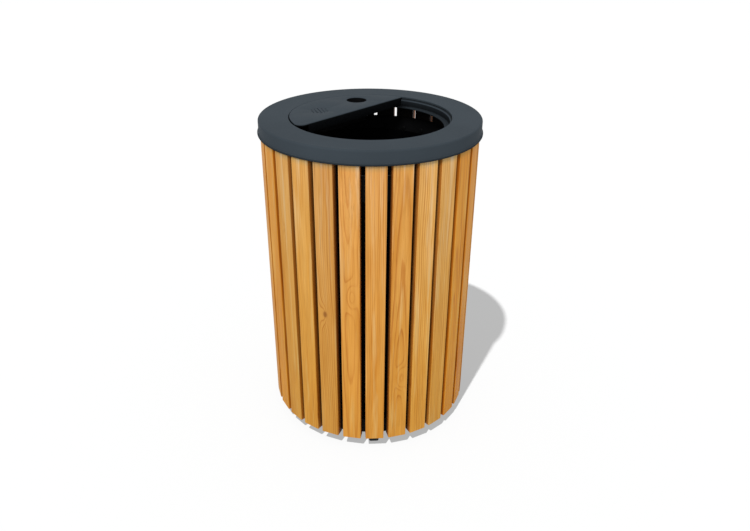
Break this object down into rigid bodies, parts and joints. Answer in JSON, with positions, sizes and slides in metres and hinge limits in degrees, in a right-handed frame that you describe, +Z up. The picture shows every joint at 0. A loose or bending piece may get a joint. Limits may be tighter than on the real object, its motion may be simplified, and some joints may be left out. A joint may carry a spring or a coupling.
{
  "type": "litter bin",
  "caption": "Round outdoor litter bin: upright wooden slats round steel hoops, hinged sheet-steel cover with an open throat and a lift-out half-moon ashtray plate, inner bucket.",
  "frame": {"origin": "centre of the bin on the ground", "axes": "+Z up; throw-in opening toward -Y, ashtray plate and cover hinge toward +Y"},
  "size_m": [0.5256, 0.5256, 0.7837],
  "materials": {
    "slat_wood": "clear-oiled honey pine with growth-ring grain",
    "cover_paint": "anthracite powder coat, fine satin",
    "black_steel": "black powder coat",
    "pan_steel": "black powder coat",
    "bucket_black": "black painted sheet",
    "foot_rubber": "moulded matt rubber",
    "zinc": "zinc plated"
  },
  "bodies": {
    "body": {"slat_01": "slat_wood", "slat_02": "slat_wood", "slat_03": "slat_wood", "slat_04": "slat_wood", "slat_05": "slat_wood", "slat_06": "slat_wood", "slat_07": "slat_wood", "slat_08": "slat_wood", "slat_09": "slat_wood", "slat_10": "slat_wood", "slat_11": "slat_wood", "slat_12": "slat_wood", "slat_13": "slat_wood", "slat_14": "slat_wood", "slat_15": "slat_wood", "slat_16": "slat_wood", "slat_17": "slat_wood", "slat_18": "slat_wood", "slat_19": "slat_wood", "slat_20": "slat_wood", "slat_21": "slat_wood", "slat_22": "slat_wood", "slat_23": "slat_wood", "slat_24": "slat_wood", "slat_25": "slat_wood", "slat_26": "slat_wood", "slat_27": "slat_wood", "slat_28": "slat_wood", "top_hoop": "black_steel", "bottom_hoop": "black_steel", "base_plate": "black_steel", "foot_1": "foot_rubber", "foot_2": "foot_rubber", "foot_3": "foot_rubber", "foot_4": "foot_rubber", "foot_bolt_1": "zinc", "foot_bolt_2": "zinc", "foot_bolt_3": "zinc", "foot_bolt_4": "zinc", "foot_nut_1": "zinc", "foot_nut_2": "zinc", "foot_nut_3": "zinc", "foot_nut_4": "zinc", "hinge_bracket_l": "black_steel", "hinge_bracket_r": "black_steel", "hinge_pin_l": "zinc", "hinge_pin_r": "zinc"},
    "cover": {"cover_ring": "cover_paint", "seat_ring": "cover_paint", "hinge_ear_l_in": "cover_paint", "hinge_ear_l_out": "cover_paint", "hinge_ear_r_in": "cover_paint", "hinge_ear_r_out": "cover_paint"},
    "ashtray": {"ashtray_plate": "cover_paint", "ash_pan": "pan_steel"},
    "bucket": {"bucket": "bucket_black", "bucket_grip_l": "bucket_black", "bucket_grip_r": "bucket_black"}
  },
  "joints": [
    {"name": "cover_hinge", "type": "hinge", "parent": "body", "child": "cover", "pos_m": [0, 0.2575, 0.7443], "axis": [-1, 0, 0], "range_deg": [0, 100]},
    {"name": "ashtray_lift", "type": "slide", "parent": "cover", "child": "ashtray", "axis": [0, 0, 1], "range_m": [0, 0.12]},
    {"name": "bucket_lift", "type": "slide", "parent": "body", "child": "bucket", "axis": [0, 0, 1], "range_m": [0, 0.06]}
  ]
}
